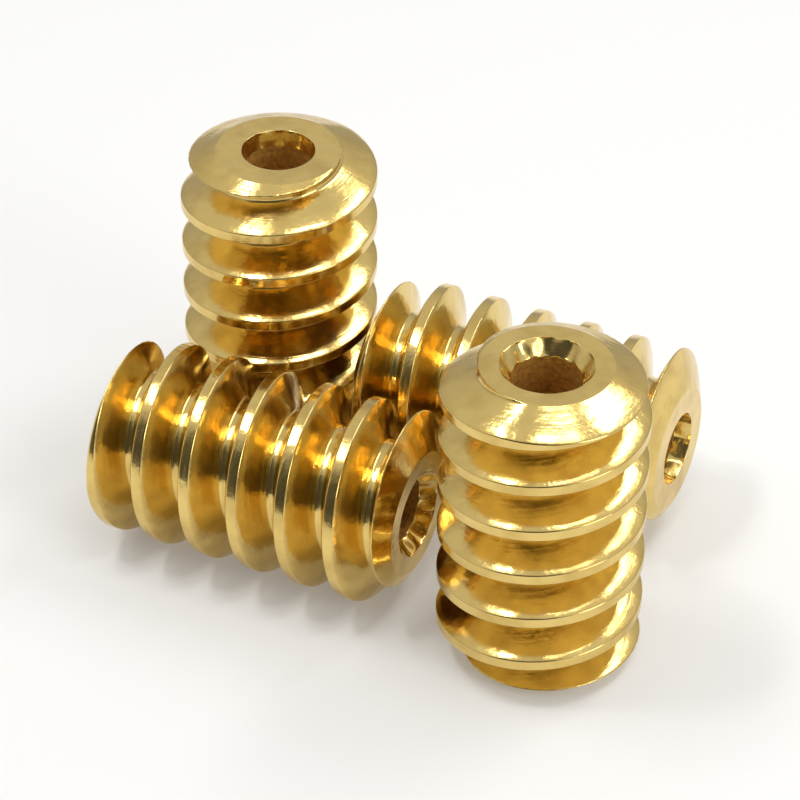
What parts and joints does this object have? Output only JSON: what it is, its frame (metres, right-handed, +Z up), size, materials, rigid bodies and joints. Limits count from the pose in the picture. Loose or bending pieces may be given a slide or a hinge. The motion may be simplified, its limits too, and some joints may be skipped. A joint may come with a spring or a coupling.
{
  "type": "worm gear set",
  "caption": "Loose brass worms with a right-hand single-start thread, bevelled ends and a countersunk through bore, standing and lying as a small group.",
  "frame": {"origin": "on the surface the worms rest on, under the middle of the group's bounding box", "axes": "+Z up, along the bores of the standing worms; +X to the right along the group's longest side; +Y away from the front"},
  "size_m": [0.0185, 0.017, 0.01],
  "materials": {
    "brass": "bright turned brass"
  },
  "bodies": {
    "front_standing": {"front_standing_worm": "brass"},
    "rear_standing": {"rear_standing_worm": "brass"},
    "left_lying": {"left_lying_worm": "brass"},
    "right_lying": {"right_lying_worm": "brass"}
  },
  "joints": [
    {"name": "rear_standing_lift", "type": "slide", "parent": "front_standing", "child": "rear_standing", "axis": [0, 0, 1], "range_m": [0, 0.012]},
    {"name": "left_lying_lift", "type": "slide", "parent": "front_standing", "child": "left_lying", "axis": [0, 0, 1], "range_m": [0, 0.012]},
    {"name": "right_lying_lift", "type": "slide", "parent": "front_standing", "child": "right_lying", "axis": [0, 0, 1], "range_m": [0, 0.012]}
  ]
}
